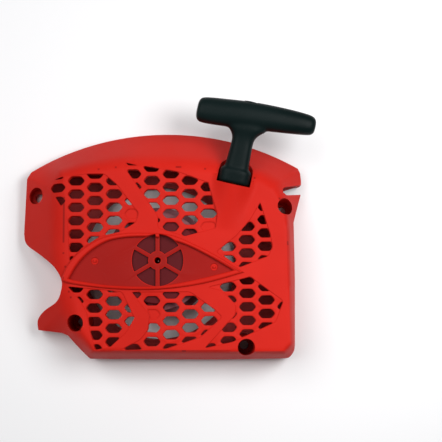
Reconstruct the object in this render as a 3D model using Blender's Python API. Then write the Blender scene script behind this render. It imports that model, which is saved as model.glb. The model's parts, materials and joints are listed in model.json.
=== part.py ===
"""Recoil starter of a small two-stroke engine, lying on its crankcase rim.

Everything is drawn in millimetres around the crank axis and placed in metres.
+Z points out of the cover's outer face, and Z = 0 is the rim that meets the crankcase.
The pull handle is drawn in a frame of its own, whose +Y is the direction of the pull.
"""

import math

import bmesh
import bpy
from mathutils import Matrix, Vector

MM = 0.001

# Driving dimensions, in millimetres.
CRANK_X, CRANK_Y = -5.758, -20.446  # crank axis, measured from the middle of the footprint
GAP = 0.3  # clearance between pieces that touch

DECK_Z = 40.0  # outer face of the cover's flat top
WALL = 2.5
LIP_Z = 8.0  # height of the straight lip round the cover's rim
RIB_Z = 42.0  # top of the raised rib round the badge recess
RECESS_Z = 39.2

POST_R, POST_BORE_R, POST_END_Z = 5.6, 2.15, 14.5
WINDOW_R, WINDOW_SPOKE = 16.8, 2.5

CELL_PITCH_X, CELL_PITCH_Y = 12.4, 8.75
CELL_HALF_X, CELL_FLAT_X, CELL_HALF_Y = 5.65, 3.1, 3.0
CELL_START_X = -3.65
SMALLEST_CELL = 2.5  # in square millimetres; smaller scraps of a cell are left out
CLOSED_CELL_Z = 38.9

REEL_LOW_Z, GROOVE_LOW_Z, GROOVE_TOP_Z, REEL_TOP_Z = 17.5, 20.0, 29.5, 31.2
REEL_R, REEL_TOP_R, DRUM_R = 36.5, 32.5, 22.0
ROPE_R = 1.75
ROPE_COIL_R = 31.0
ROPE_TANGENT_R = 29.5
ROPE_EXIT_Z = 23.0

CASE_R, CASE_ROOF_Z = 28.5, 37.2
BAFFLE_LOW_Z, BAFFLE_TOP_Z, BAFFLE_OPENING_R = 5.0, 7.0, 52.0

SEAT = Vector((49.8, 50.5, 36.5))  # middle of the pull handle's seat
PULL_TURN = math.radians(13)  # the pull leans this far from +Y towards +X
PULL_RISE = math.radians(10)
PULL = (
    Matrix.Translation(SEAT)
    @ Matrix.Rotation(-PULL_TURN, 4, "Z")
    @ Matrix.Rotation(PULL_RISE, 4, "X")
)

MOUNT_HOLES = ((-83.3, 45.2), (84.4, 35.3), (-53.6, -40.2), (57.4, -56.7))
MOUNT_BOSS_R, MOUNT_SINK_R, MOUNT_BORE_R, MOUNT_FLOOR_Z = 7.6, 5.6, 3.1, 6.0
BAFFLE_SCREWS = ((-79.0, 22.0), (-8.0, 76.0), (82.0, 2.0), (77.0, -55.0))
CASE_SCREWS = ((-16.9, 30.4), (33.2, 21.7), (-1.1, -36.3))
BADGE_PEGS = ((-40.7, -0.1), (36.9, -4.5))
BADGE_PEG_R, BADGE_PEG_Z = 1.0, 40.0
EYELET_HOLE_R = 4.2


def arc(centre, radius, start, end, steps):
    """Points along a circle, from one angle in degrees to another."""
    angles = [math.radians(start + (end - start) * i / steps) for i in range(steps + 1)]
    return [(centre[0] + radius * math.cos(a), centre[1] + radius * math.sin(a)) for a in angles]


def smooth(points, steps):
    """A Catmull-Rom curve through the points, open at both ends."""
    ends = [points[0], *points, points[-1]]
    found = []
    for a, b, c, d in zip(ends, ends[1:], ends[2:], ends[3:]):
        for i in range(steps):
            t = i / steps
            found.append(
                tuple(
                    q
                    + (r - p) * t / 2
                    + (p - 2.5 * q + 2 * r - s / 2) * t**2
                    + (3 * (q - r) + s - p) * t**3 / 2
                    for p, q, r, s in zip(a, b, c, d)
                )
            )
    return [*found, points[-1]]


def inset(outline, distance):
    """The outline moved inwards by a distance; it runs anticlockwise."""
    moved = []
    for i, here in enumerate(outline):
        before = Vector(here) - Vector(outline[i - 1])
        after = Vector(outline[(i + 1) % len(outline)]) - Vector(here)
        one = Vector((-before.y, before.x)).normalized()
        two = Vector((-after.y, after.x)).normalized()
        middle = (one + two).normalized()
        moved.append(tuple(Vector(here) + middle * (distance / max(middle.dot(one), 0.5))))
    return moved


# The rim's outline, anticlockwise from the lower left corner.
RIM = [
    (-46.5, -64.6),
    (37.0, -66.1),
    *arc((84.6, -59.3), 6.2, -90, 0, 4),
    (92.2, -12.0),
    (91.7, 26.4),
    (97.4, 46.0),
    (97.9, 56.0),
    (97.3, 61.0),
    *arc((5.0, -92.9), 181.7, 60, 121, 14),
    (-91.3, 57.8),
    *smooth(
        [
            (-93.1, 20.0), (-90.6, 12.6), (-78.1, 4.2), (-68.3, -3.3), (-63.3, -10.5), (-62.4, -17.0),
            (-66.1, -25.9), (-76.5, -32.3), (-82.2, -38.5), (-82.2, -45.3),
        ],
        2,
    ),
    (-64.0, -47.0),
    (-59.6, -48.6),
    (-55.0, -54.4),
]

# The cover's flanks: each corner of the lip's plan rises to a corner of the flat top's.
FLANK_FOOT = [(-47.0, -66.5), (88.0, -67.0), (93.0, -60.0), (93.5, 26.0), (99.0, 48.0), (98.5, 62.0)]
FLANK_FOOT += arc((5.0, -92.9), 182.7, 60, 121, 8)
FLANK_FOOT += [(-93.5, 60.0), (-94.0, 18.0), (-90.0, -28.0), (-84.0, -50.0)]
DECK = [(-42.0, -58.8), (80.0, -60.0), (84.0, -54.0), (81.0, 20.0), (79.0, 40.0), (74.0, 53.0)]
DECK += [(68.0, 55.5), (51.0, 59.8), (33.0, 62.8), (15.0, 64.3), (-5.0, 64.6), (-24.0, 64.4)]
DECK += [(-40.0, 62.4), (-54.0, 60.0), (-63.0, 57.5), (-64.5, 50.0), (-64.5, 6.0), (-61.0, -20.0)]
DECK += [(-53.0, -44.0)]

# The badge recess is an eye: its raised rib's outline and its sunken floor's, anticlockwise.
EYE_LOW = [(-62.3, -12.4), (-53.7, -15.2), (-29.0, -18.3), (0.0, -18.9), (28.8, -15.4), (56.2, -8.2)]
EYE_HIGH = [(56.2, -8.2), (40.0, 1.9), (24.8, 9.9), (8.2, 16.6), (-12.5, 18.0), (-25.0, 17.3)]
EYE_HIGH += [(-37.4, 14.4), (-49.7, 6.6), (-57.9, -2.4), (-62.3, -12.4)]
EYE = smooth(EYE_LOW, 2)[:-1] + smooth(EYE_HIGH, 2)[:-1]
FLOOR_LOW = [(-57.4, -11.6), (-51.0, -13.1), (-29.0, -16.2), (0.0, -16.7), (24.0, -12.9), (49.4, -6.9)]
FLOOR_HIGH = [(49.4, -6.9), (33.1, 2.8), (16.5, 10.8), (0.0, 14.8), (-13.5, 15.4), (-25.0, 14.5)]
FLOOR_HIGH += [(-34.4, 11.9), (-44.4, 5.6), (-52.0, -2.4), (-57.4, -11.6)]
EYE_FLOOR = smooth(FLOOR_LOW, 2)[:-1] + smooth(FLOOR_HIGH, 2)[:-1]

# Each patch of honeycomb vents, anticlockwise, and the round-ended slot in the right edge.
PATCHES = (
    [
        (-74.0, 52.0), (-62.3, 34.7), (-58.3, 26.8), (-57.0, 0.0), (-49.7, 8.2), (-37.4, 16.0), (-24.4, 18.9),
        (-14.0, 25.2), (-12.7, 31.1), (-26.4, 49.7), (-35.0, 57.0), (-45.5, 57.0), (-65.1, 55.0),
    ],
    [
        (-24.5, 65.6), (-4.8, 37.0), (0.4, 29.1), (0.4, 21.2), (18.0, 15.8), (37.7, 20.9), (39.1, 29.5),
        (33.3, 50.7), (28.0, 52.7), (13.6, 58.1), (-11.4, 62.9),
    ],
    [
        (67.4, 37.3), (60.7, 26.1), (51.4, 15.6), (38.2, 5.2), (53.8, -4.7), (72.2, 2.4), (74.9, 8.3),
        (73.7, 16.1),
    ],
    [
        (-58.5, -16.6), (-50.1, -25.3), (-45.5, -33.1), (-43.5, -44.7), (-40.2, -57.5), (-30.6, -55.7),
        (-20.3, -46.2), (-15.1, -37.2), (-23.0, -20.3),
    ],
    [
        (-16.5, -20.6), (-4.8, -35.4), (-6.1, -45.0), (-11.2, -51.4), (-24.1, -57.8), (4.9, -57.2),
        (27.5, -49.8), (41.8, -37.0), (37.3, -32.5), (21.2, -20.7),
    ],
    [
        (32.9, -17.7), (42.0, -19.6), (51.0, -29.3), (50.3, -35.8), (30.7, -56.8), (48.2, -53.1),
        (65.1, -45.6), (76.2, -40.5), (81.6, -27.0), (60.3, -11.2),
    ],
)
SLOT = ((85.6, 43.3), (100.0, 46.8), (100.0, 53.6), (89.0, 50.2), (84.6, 48.8), (82.8, 47.2), (83.2, 44.8))


def clear_scene():
    for obj in list(bpy.data.objects):
        bpy.data.objects.remove(obj, do_unlink=True)


CRANK = Matrix.Translation((CRANK_X * MM, CRANK_Y * MM, 0))


def metres(matrix):
    """The same placement with its shift given in metres."""
    moved = matrix.copy()
    moved.translation = matrix.translation * MM
    return moved


# Frames that pieces are drawn in: the crank's, the pull's, and the pull's with +Z along the rope.
PULL_PLACE = CRANK @ metres(PULL)
ROPE_PLACE = PULL_PLACE @ Matrix.Rotation(-math.pi / 2, 4, "X")


def to_object(name, mesh, place=CRANK):
    """The mesh as an object; it is drawn in millimetres in the frame given."""
    bmesh.ops.scale(mesh, vec=(MM, MM, MM), verts=mesh.verts)
    bmesh.ops.remove_doubles(mesh, verts=mesh.verts, dist=1e-7)
    bmesh.ops.recalc_face_normals(mesh, faces=mesh.faces)
    data = bpy.data.meshes.new(name)
    mesh.to_mesh(data)
    mesh.free()
    obj = bpy.data.objects.new(name, data)
    bpy.context.scene.collection.objects.link(obj)
    obj.matrix_world = place
    bpy.context.view_layer.update()
    return obj


def loft(name, rings, place=CRANK):
    """A solid through rings of as many points each; its sides may twist, so they are triangles."""
    mesh = bmesh.new()
    loops = [[mesh.verts.new(point) for point in ring] for ring in rings]
    for low, high in zip(loops, loops[1:]):
        for i in range(len(low)):
            mesh.faces.new((low[i - 1], low[i], high[i], high[i - 1]))
    bmesh.ops.triangulate(mesh, faces=mesh.faces)
    mesh.faces.new(loops[0])
    mesh.faces.new(loops[-1])
    return to_object(name, mesh, place)


def level(outline, z):
    return [(x, y, z) for x, y in outline]


def prisms(name, outlines, low, high, place=CRANK):
    """Upright prisms over several outlines, as one object."""
    mesh = bmesh.new()
    for outline in outlines:
        face = mesh.faces.new([mesh.verts.new(point) for point in level(outline, low)])
        made = bmesh.ops.extrude_face_region(mesh, geom=[face])["geom"]
        risen = [item for item in made if isinstance(item, bmesh.types.BMVert)]
        bmesh.ops.translate(mesh, vec=(0, 0, high - low), verts=risen)
    return to_object(name, mesh, place)


def circle(centre, radius, steps):
    return arc(centre, radius, 0, 360, steps)[:-1]


def turned(name, profile, steps, closed=True, place=CRANK):
    """A profile of (radius, height) points spun about the frame's Z axis."""
    mesh = bmesh.new()
    points = [mesh.verts.new((radius, 0, height)) for radius, height in profile]
    edges = [mesh.edges.new(pair) for pair in zip(points, points[1:])]
    if closed:
        edges.append(mesh.edges.new((points[-1], points[0])))
    bmesh.ops.spin(
        mesh, geom=points + edges, cent=(0, 0, 0), axis=(0, 0, 1), angle=math.tau, steps=steps, use_merge=True
    )
    return to_object(name, mesh, place)


def combine(target, tool, operation="DIFFERENCE"):
    """Applies a Boolean and removes the tool."""
    modifier = target.modifiers.new(operation, "BOOLEAN")
    modifier.operation = operation
    modifier.object = tool
    with bpy.context.temp_override(object=target, active_object=target, selected_objects=[target]):
        bpy.ops.object.modifier_apply(modifier=modifier.name)
    bpy.data.objects.remove(tool, do_unlink=True)


def drop_slivers(obj, smallest):
    """Removes loose pieces whose footprint is under this many square millimetres."""
    mesh = bmesh.new()
    mesh.from_mesh(obj.data)
    waiting = set(mesh.verts)
    while waiting:
        piece, edge_of = set(), [waiting.pop()]
        while edge_of:
            vert = edge_of.pop()
            piece.add(vert)
            near = {edge.other_vert(vert) for edge in vert.link_edges} & waiting
            waiting -= near
            edge_of += near
        faces = {face for vert in piece for face in vert.link_faces}
        footprint = sum(face.calc_area() for face in faces if face.normal.z > 0.9) / MM**2
        if footprint < smallest:
            bmesh.ops.delete(mesh, geom=list(piece), context="VERTS")
    mesh.to_mesh(obj.data)
    mesh.free()


def finish(obj, colour, roughness, metallic=0.0, smooth_angle=35):
    """Gives the piece its own material, and smooth shading between sharp edges."""
    material = bpy.data.materials.new(obj.name)
    material.use_nodes = True
    shader = material.node_tree.nodes["Principled BSDF"]
    shader.inputs["Base Color"].default_value = (*colour, 1)
    shader.inputs["Roughness"].default_value = roughness
    shader.inputs["Metallic"].default_value = metallic
    obj.data.materials.append(material)
    if obj.type == "MESH":
        obj.data.shade_smooth()
        obj.data.set_sharp_from_angle(angle=math.radians(smooth_angle))
    return obj


RED = (0.55, 0.03, 0.02)
BLACK = (0.015, 0.017, 0.018)
DARK_GREEN = (0.012, 0.02, 0.02)
STEEL = (0.55, 0.55, 0.56)
BRASS = (0.6, 0.45, 0.2)
CREAM = (0.7, 0.65, 0.52)


def under_face(name, margin, top_z):
    """The space under the cover's outer face, drawn in by a margin on its sides."""
    walls = prisms(name, [inset(RIM, margin) if margin else RIM], -margin, DECK_Z + 5)
    foot, deck = inset(FLANK_FOOT, margin), inset(DECK, margin)
    flanks = loft("flanks", [level(foot, -5), level(foot, LIP_Z), level(deck, top_z)])
    combine(walls, flanks, "INTERSECT")
    return walls


def honeycomb(name, closed, low):
    """Prisms for the vent cells, or for those that a screw boss closes, trimmed to the patches."""
    hexagon = (
        (CELL_HALF_X, 0),
        (CELL_FLAT_X, CELL_HALF_Y),
        (-CELL_FLAT_X, CELL_HALF_Y),
        (-CELL_HALF_X, 0),
        (-CELL_FLAT_X, -CELL_HALF_Y),
        (CELL_FLAT_X, -CELL_HALF_Y),
    )
    cells = []
    for column in range(-6, 8):
        x = CELL_START_X + column * CELL_PITCH_X
        for row in range(-8, 9):
            y = (row + column % 2 / 2) * CELL_PITCH_Y
            over_boss = any(math.hypot(x - a, y - b) < CELL_HALF_Y for a, b in CASE_SCREWS)
            if over_boss == closed:
                cells.append([(x + dx, y + dy) for dx, dy in hexagon])
    vents = prisms(name, cells, low, 60)
    combine(vents, prisms("patches", PATCHES, low - 2, 62), "INTERSECT")
    drop_slivers(vents, SMALLEST_CELL)
    return vents


def wheel_windows():
    """Six windows between the spokes round the crank axis."""
    windows = []
    for i in range(6):
        sides = []
        for radius, ends in ((WINDOW_R, (0, 60)), (POST_R + GAP, (60, 0))):
            spoke = math.degrees(math.asin(WINDOW_SPOKE / 2 / radius))
            turn = 30 + 60 * i
            first, last = (turn + spoke, turn + 60 - spoke)[:: 1 if ends[0] == 0 else -1]
            sides += arc((0, 0), radius, first, last, 5)
        windows.append(sides)
    openings = prisms("windows", windows, 30, 50)
    combine(openings, prisms("floor", [inset(EYE_FLOOR, 0.5)], 20, 60), "INTERSECT")
    return openings


def pocket_section(radius, top):
    """A U with a round floor, as (x, z) in the pull's frame."""
    return [*arc((0, 0), radius, 180, 360, 12), (radius, top), (-radius, top)]


def starter_cover():
    outer = under_face("starter_cover", 0, DECK_Z)
    posts = prisms("posts", [circle(at, MOUNT_BOSS_R, 24) for at in MOUNT_HOLES], -20, 70)
    for outlines, low in (
        ([circle(at, 3.6, 12) for at in BAFFLE_SCREWS], BAFFLE_TOP_Z + GAP),
        ([circle(at, 3.2, 12) for at in CASE_SCREWS], 35.5),
        ([circle((0, 0), POST_R, 24)], POST_END_Z),
    ):
        combine(posts, prisms("more posts", outlines, low, 60), "UNION")
    tub = [[(x, y, z) for x, z in pocket_section(13.2, 30)] for y in (-3.0, 24.0)]
    combine(posts, loft("tub", tub, PULL_PLACE), "UNION")
    hollow = under_face("hollow", WALL, DECK_Z - WALL)
    combine(hollow, posts)
    combine(outer, hollow)

    hood = turned("hood", [(0, -30), (6.5, -30), (12.5, 0), (0, 0)], 24, False, ROPE_PLACE)
    combine(outer, hood, "UNION")
    combine(outer, prisms("rib", [EYE], DECK_Z - 1, RIB_Z), "UNION")
    combine(outer, prisms("recess", [EYE_FLOOR], RECESS_Z, 60))

    pocket = [[(x, y, z) for x, z in pocket_section(11.2, 40)] for y in (0, 45)]
    combine(outer, loft("pocket", pocket, PULL_PLACE))
    rope_way = rope_channel()
    eyelet_hole = [(0, -4), (EYELET_HOLE_R, -4), (EYELET_HOLE_R, 1), (0, 1)]
    combine(rope_way, turned("eyelet hole", eyelet_hole, 20, False, ROPE_PLACE), "UNION")
    combine(outer, rope_way)
    combine(outer, prisms("slot", [SLOT], -5, 60))
    combine(outer, prisms("sinks", [circle(at, MOUNT_SINK_R, 24) for at in MOUNT_HOLES], MOUNT_FLOOR_Z, 60))
    combine(outer, prisms("bores", [circle(at, MOUNT_BORE_R, 16) for at in MOUNT_HOLES], -5, 20))
    combine(outer, prisms("baffle pilots", [circle(at, 1.4, 10) for at in BAFFLE_SCREWS], 0, 18))
    combine(outer, prisms("case pilots", [circle(at, 1.1, 8) for at in CASE_SCREWS], 30, 38.6))
    combine(outer, prisms("post bore", [circle((0, 0), POST_BORE_R, 16)], 10, 60))
    combine(outer, wheel_windows())
    combine(outer, honeycomb("vents", False, 20))
    combine(outer, honeycomb("closed cells", True, CLOSED_CELL_Z))
    pegs = [circle(at, BADGE_PEG_R, 10) for at in BADGE_PEGS]
    combine(outer, prisms("badge pegs", pegs, RECESS_Z - 1, BADGE_PEG_Z), "UNION")
    return finish(outer, RED, 0.4)


def rope_line():
    """Where the straight rope leaves the coil's circle, its end at the eyelet, and its direction."""
    mouth = PULL @ Vector((0, -4.5, 0))
    reach = math.hypot(mouth.x, mouth.y)
    turn = math.atan2(mouth.y, mouth.x) - math.acos(ROPE_TANGENT_R / reach)
    start = Vector((ROPE_TANGENT_R * math.cos(turn), ROPE_TANGENT_R * math.sin(turn), ROPE_EXIT_Z))
    return start, mouth, (mouth - start).normalized()


def rope_channel():
    """A round passage behind the eyelet, along the rope."""
    _, mouth, along = rope_line()
    inner = PULL @ Vector((0, -2.8, 0))
    place = CRANK @ metres(Matrix.Translation(inner) @ along.to_track_quat("Z", "Y").to_matrix().to_4x4())
    return turned("channel", [(0, -45), (5.6, -45), (5.6, 0), (0, 0)], 18, False, place)


def rope(name, points, place=CRANK):
    """A rope along a list of points, as a tube with filled ends."""
    curve = bpy.data.curves.new(name, "CURVE")
    curve.dimensions = "3D"
    curve.bevel_depth = ROPE_R * MM
    curve.bevel_resolution = 2
    curve.use_fill_caps = True
    spline = curve.splines.new("POLY")
    spline.points.add(len(points) - 1)
    for knot, point in zip(spline.points, points):
        knot.co = (*(Vector(point) * MM), 1)
    obj = bpy.data.objects.new(name, curve)
    bpy.context.scene.collection.objects.link(obj)
    obj.matrix_world = place
    return finish(obj, CREAM, 0.9)


def screw(name, at, head_low, head_top, tip_z, head_r, shank_r, place=CRANK):
    """A pan-head screw driven upwards, with a cross recess in its head."""
    bevel = 0.25 * (head_top - head_low)
    profile = [
        (0, head_low), (head_r - bevel, head_low), (head_r, head_low + bevel), (head_r, head_top),
        (shank_r, head_top), (shank_r, tip_z - shank_r), (0.3 * shank_r, tip_z), (0, tip_z),
    ]
    obj = turned(name, profile, 14, False, place @ Matrix.Translation((at[0] * MM, at[1] * MM, 0)))
    arm, half = 0.6 * head_r, 0.13 * head_r
    for outline in (
        [(-arm, -half), (arm, -half), (arm, half), (-arm, half)],
        [(-half, -arm), (half, -arm), (half, arm), (-half, arm)],
    ):
        depth = head_low + 0.5 * (head_top - head_low)
        combine(obj, prisms("cross", [outline], head_low - 1, depth, obj.matrix_world.copy()))
    return finish(obj, STEEL, 0.35, 1.0)


def spring_case():
    roof_low, low, bore = 35.9, 31.6, POST_R + 0.5
    inner = CASE_R - 1.5
    profile = [
        (bore, roof_low), (inner, roof_low), (inner, low), (CASE_R, low), (CASE_R, CASE_ROOF_Z),
        (bore, CASE_ROOF_Z),
    ]
    case = turned("spring_case", profile, 40)
    ears = []
    for x, y in CASE_SCREWS:
        turn, reach = math.degrees(math.atan2(y, x)), math.hypot(x, y)
        root = ((CASE_R - 1) * x / reach, (CASE_R - 1) * y / reach)
        ears.append(
            arc((x, y), 4.2, turn - 90, turn + 90, 8)
            + arc(root, 5.0, turn + 90, turn + 91, 1)
            + arc(root, 5.0, turn - 91, turn - 90, 1)
        )
    combine(case, prisms("ears", ears, 33.4, 35.2), "UNION")
    combine(case, prisms("hollow", [circle((0, 0), inner, 40)], 30, roof_low))
    combine(case, prisms("ear holes", [circle(at, 1.2, 10) for at in CASE_SCREWS], 30, 40))
    return finish(case, BLACK, 0.5)


def mainspring():
    """A flat steel strip, wound from the reel's hub out to the case wall."""
    turns, steps, thick = 7, 20, 0.5
    inner, outer = 9.2, CASE_R - 2.4
    sides = ([], [])
    for i in range(turns * steps + 1):
        angle = math.tau * i / steps
        radius = inner + (outer - inner) * i / (turns * steps)
        for side, shift in zip(sides, (0, thick)):
            side.append(((radius + shift) * math.cos(angle), (radius + shift) * math.sin(angle)))
    rings = [
        [(*a, 32.7), (*b, 32.7), (*b, 35.5), (*a, 35.5)]
        for a, b in zip(*sides)
    ]
    return finish(loft("mainspring", rings), (0.3, 0.3, 0.31), 0.35, 1.0)


def rope_reel():
    hub_r, bore = 11.0, POST_R + 1.25
    profile = [
        (bore, 14.8), (hub_r, 14.8), (hub_r, 26.0), (19.5, 26.0), (19.5, REEL_LOW_Z), (REEL_R, REEL_LOW_Z),
        (REEL_R, GROOVE_LOW_Z), (DRUM_R, GROOVE_LOW_Z), (DRUM_R, GROOVE_TOP_Z), (REEL_TOP_R, GROOVE_TOP_Z),
        (REEL_TOP_R, REEL_TOP_Z), (8.6, REEL_TOP_Z), (8.6, 35.5), (bore, 35.5),
    ]
    reel = turned("rope_reel", profile, 48)
    combine(reel, prisms("knot pocket", [circle(KNOT_AT, 4.6, 16)], 10, 24.8))
    return finish(reel, BLACK, 0.45)


KNOT_AT = (-24.5, 0.0)


def drive_cup():
    """The ratchet cup under the reel: six saw teeth inside, and three lugs that key it to the reel."""
    cup = turned("drive_cup", [(11.4, 9.0), (19.2, 9.0), (19.2, 17.2), (11.4, 17.2)], 36)
    teeth = []
    for i in range(6):
        teeth += [*arc((0, 0), 16.6, 60 * i, 60 * i + 40, 4), *arc((0, 0), 13.6, 60 * i + 54, 60 * i + 60, 1)]
    combine(cup, prisms("teeth", [teeth], 5, 15.2))
    lugs = []
    for i in range(3):
        start, end = 120 * i - 10, 120 * i + 10
        lugs.append(arc((0, 0), 18.8, start, end, 3) + arc((0, 0), 14.0, end, start, 3))
    combine(cup, prisms("lugs", lugs, 16.5, 21.5), "UNION")
    return finish(cup, STEEL, 0.4, 1.0)


def air_baffle():
    plate = prisms("air_baffle", [inset(RIM, WALL + 0.6)], BAFFLE_LOW_Z, BAFFLE_TOP_Z)
    combine(plate, prisms("opening", [circle((0, 0), BAFFLE_OPENING_R, 64)], 0, 20))
    combine(plate, prisms("boss gaps", [circle(at, MOUNT_BOSS_R + 0.4, 24) for at in MOUNT_HOLES], 0, 20))
    combine(plate, prisms("screw holes", [circle(at, 1.6, 12) for at in BAFFLE_SCREWS], 0, 20))
    combine(plate, prisms("slot gap", [SLOT], 0, 20))
    return finish(plate, BLACK, 0.55)


def superellipse(half_a, half_b, power, steps):
    """Points (a, b) round a soft-cornered oval."""
    points = []
    for i in range(steps):
        angle = math.tau * i / steps
        c, s = math.cos(angle), math.sin(angle)
        a = half_a * math.copysign(abs(c) ** (2 / power), c)
        points.append((a, half_b * math.copysign(abs(s) ** (2 / power), s)))
    return points


# Sections of the pull handle. Along the stem: (y, half width, half depth).
STEM_SECTIONS = (
    (1.4, 9.6, 8.2), (2.2, 10.2, 8.7), (8.6, 10.2, 8.7), (11.2, 8.0, 7.6), (16.0, 7.6, 7.4), (27.0, 7.2, 7.0),
    (31.5, 7.5, 7.2), (34.2, 9.4, 7.8), (36.4, 13.4, 8.6), (41.0, 16.0, 8.8), (46.0, 10.0, 7.0),
)
# Along the bar: (x, lowest y, highest y, half depth).
BAR_SECTIONS = (
    (-33.8, 39.0, 47.6, 5.4), (-32.6, 36.2, 50.0, 8.4), (-29.0, 34.6, 51.7, 9.6), (-16.0, 35.4, 53.4, 9.8),
    (2.0, 37.2, 55.2, 9.45), (22.0, 39.2, 55.7, 8.7), (38.0, 41.2, 55.1, 7.7), (42.9, 42.2, 53.6, 6.2),
    (44.63, 44.2, 51.0, 3.8),
)
CHAMBER_Y, CHAMBER_R = 41.0, 5.2


def handle_grip():
    stem = [[(x, y, z) for x, z in superellipse(a, b, 2.7, 24)] for y, a, b in STEM_SECTIONS]
    bar = []
    for x, low, high, depth in BAR_SECTIONS:
        oval = superellipse((high - low) / 2, depth, 2.6, 24)
        bar.append([(x, (low + high) / 2 + dy, dz) for dy, dz in oval])
    grip = loft("handle_grip", stem, PULL_PLACE)
    combine(grip, loft("bar", bar, PULL_PLACE), "UNION")
    combine(grip, turned("rope bore", [(0, -5), (2.5, -5), (2.5, 45), (0, 45)], 16, False, ROPE_PLACE))
    chamber = [(0, CHAMBER_Y), (CHAMBER_R, CHAMBER_Y), (CHAMBER_R, 60), (0, 60)]
    combine(grip, turned("chamber", chamber, 20, False, ROPE_PLACE))
    return finish(grip, DARK_GREEN, 0.45, smooth_angle=50)


def knot(name, low, high, radius, place):
    """A pulled-tight overhand knot, as a barrel with a waist."""
    span = high - low
    profile = [
        (0, low), (0.6 * radius, low), (0.95 * radius, low + 0.15 * span), (radius, low + 0.3 * span),
        (0.86 * radius, low + 0.5 * span), (radius, low + 0.7 * span), (0.9 * radius, low + 0.88 * span),
        (0.5 * radius, high), (0, high),
    ]
    return finish(turned(name, profile, 16, False, place), CREAM, 0.9)


def main():
    clear_scene()
    starter_cover()
    steel = (STEEL, 0.35, 1.0)

    sleeve = (POST_R + GAP, POST_R + 0.95)
    profile = [(sleeve[0], 14.9), (sleeve[1], 14.9), (sleeve[1], 35.4), (sleeve[0], 35.4)]
    finish(turned("spindle_sleeve", profile, 32), *steel)
    spring_case()
    lid = [(9.2, 31.6), (CASE_R - 1.9, 31.6), (CASE_R - 1.9, 32.3), (9.2, 32.3)]
    finish(turned("spring_case_lid", lid, 40), *steel)
    for i, at in enumerate(CASE_SCREWS):
        screw(f"case_screw_{i + 1}", at, 31.5, 33.1, 37.9, 2.6, 0.8)
    mainspring()

    rope_reel()
    drive_cup()
    washer = [(2.3, 13.1), (10.0, 13.1), (10.0, 14.2), (2.3, 14.2)]
    finish(turned("reel_washer", washer, 32), *steel)
    screw("reel_screw", (0, 0), 9.8, 12.8, 30.0, 4.4, 1.85)
    coil_low, coil_top = GROOVE_LOW_Z + 0.4, GROOVE_TOP_Z - 0.4
    coil = [
        (DRUM_R + GAP, coil_low), (ROPE_COIL_R - 1.2, coil_low), (ROPE_COIL_R, coil_low + 1.2),
        (ROPE_COIL_R, coil_top - 1.2), (ROPE_COIL_R - 1.2, coil_top), (DRUM_R + GAP, coil_top),
    ]
    finish(turned("rope_winding", coil, 48), CREAM, 0.9)
    knot("reel_knot", 13.0, 19.7, 4.1, CRANK @ Matrix.Translation((KNOT_AT[0] * MM, KNOT_AT[1] * MM, 0)))

    start, mouth, along = rope_line()
    first = start + along * 15.2
    run = [first + (mouth - first) * i / 6 for i in range(7)]
    run += [PULL @ Vector((0, y, 0)) for y in (-2.0, 0.9)]
    rope("rope_run", run)
    eyelet = [(2.3, -4.2), (3.9, -4.2), (3.9, 0.3), (5.4, 0.3), (5.4, 1.0), (2.3, 1.0)]
    finish(turned("rope_eyelet", eyelet, 24, place=ROPE_PLACE), BRASS, 0.35, 1.0)

    air_baffle()
    for i, at in enumerate(BAFFLE_SCREWS):
        screw(f"baffle_screw_{i + 1}", at, 3.0, 4.7, 17.0, 3.0, 1.1)

    handle_grip()
    rope("rope_tail", [(0, y, 0) for y in (1.5, 10, 20, 30, 42.8)], PULL_PLACE)
    insert = [(2.3, CHAMBER_Y + GAP), (4.9, CHAMBER_Y + GAP), (4.9, 42.9), (2.3, 42.9)]
    finish(turned("handle_insert", insert, 24, place=ROPE_PLACE), *steel)
    knot("handle_knot", 43.2, 49.8, 4.2, ROPE_PLACE)
    cap = [(0, 50.2), (4.3, 50.2), (4.8, 50.9), (4.8, 52.6), (4.3, 53.4), (0, 53.6)]
    finish(turned("handle_cap", cap, 24, False, ROPE_PLACE), DARK_GREEN, 0.45)


main()
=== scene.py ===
"""Looks of a recoil starter: a red moulded cover, a dark T-handle on a rope, and the works under the cover.

Shapes are drawn in millimetres from the crank axis, or in the pull's own frame, whose +Y is the way that
the handle is pulled.
"""

import json
import math

import bpy
import numpy as np
from mathutils import Matrix, Vector


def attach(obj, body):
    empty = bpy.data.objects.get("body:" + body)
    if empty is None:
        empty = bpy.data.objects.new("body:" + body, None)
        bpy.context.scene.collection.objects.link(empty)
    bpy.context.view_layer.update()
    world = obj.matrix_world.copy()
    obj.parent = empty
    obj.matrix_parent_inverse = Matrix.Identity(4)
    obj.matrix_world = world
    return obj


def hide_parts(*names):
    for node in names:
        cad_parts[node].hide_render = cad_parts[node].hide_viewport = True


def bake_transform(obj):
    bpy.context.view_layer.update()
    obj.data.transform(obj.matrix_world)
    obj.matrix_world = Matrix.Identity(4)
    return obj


MM = 0.001
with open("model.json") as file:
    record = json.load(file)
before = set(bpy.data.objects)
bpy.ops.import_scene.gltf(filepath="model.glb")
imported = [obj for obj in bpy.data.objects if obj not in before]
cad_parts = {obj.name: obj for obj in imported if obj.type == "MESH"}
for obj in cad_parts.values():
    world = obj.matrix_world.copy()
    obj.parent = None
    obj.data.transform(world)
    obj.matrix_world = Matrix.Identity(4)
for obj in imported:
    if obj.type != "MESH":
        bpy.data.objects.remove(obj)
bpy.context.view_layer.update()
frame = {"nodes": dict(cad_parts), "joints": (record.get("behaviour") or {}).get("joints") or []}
nodes = frame["nodes"]
joints = {joint["name"]: joint for joint in frame["joints"]}

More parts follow.
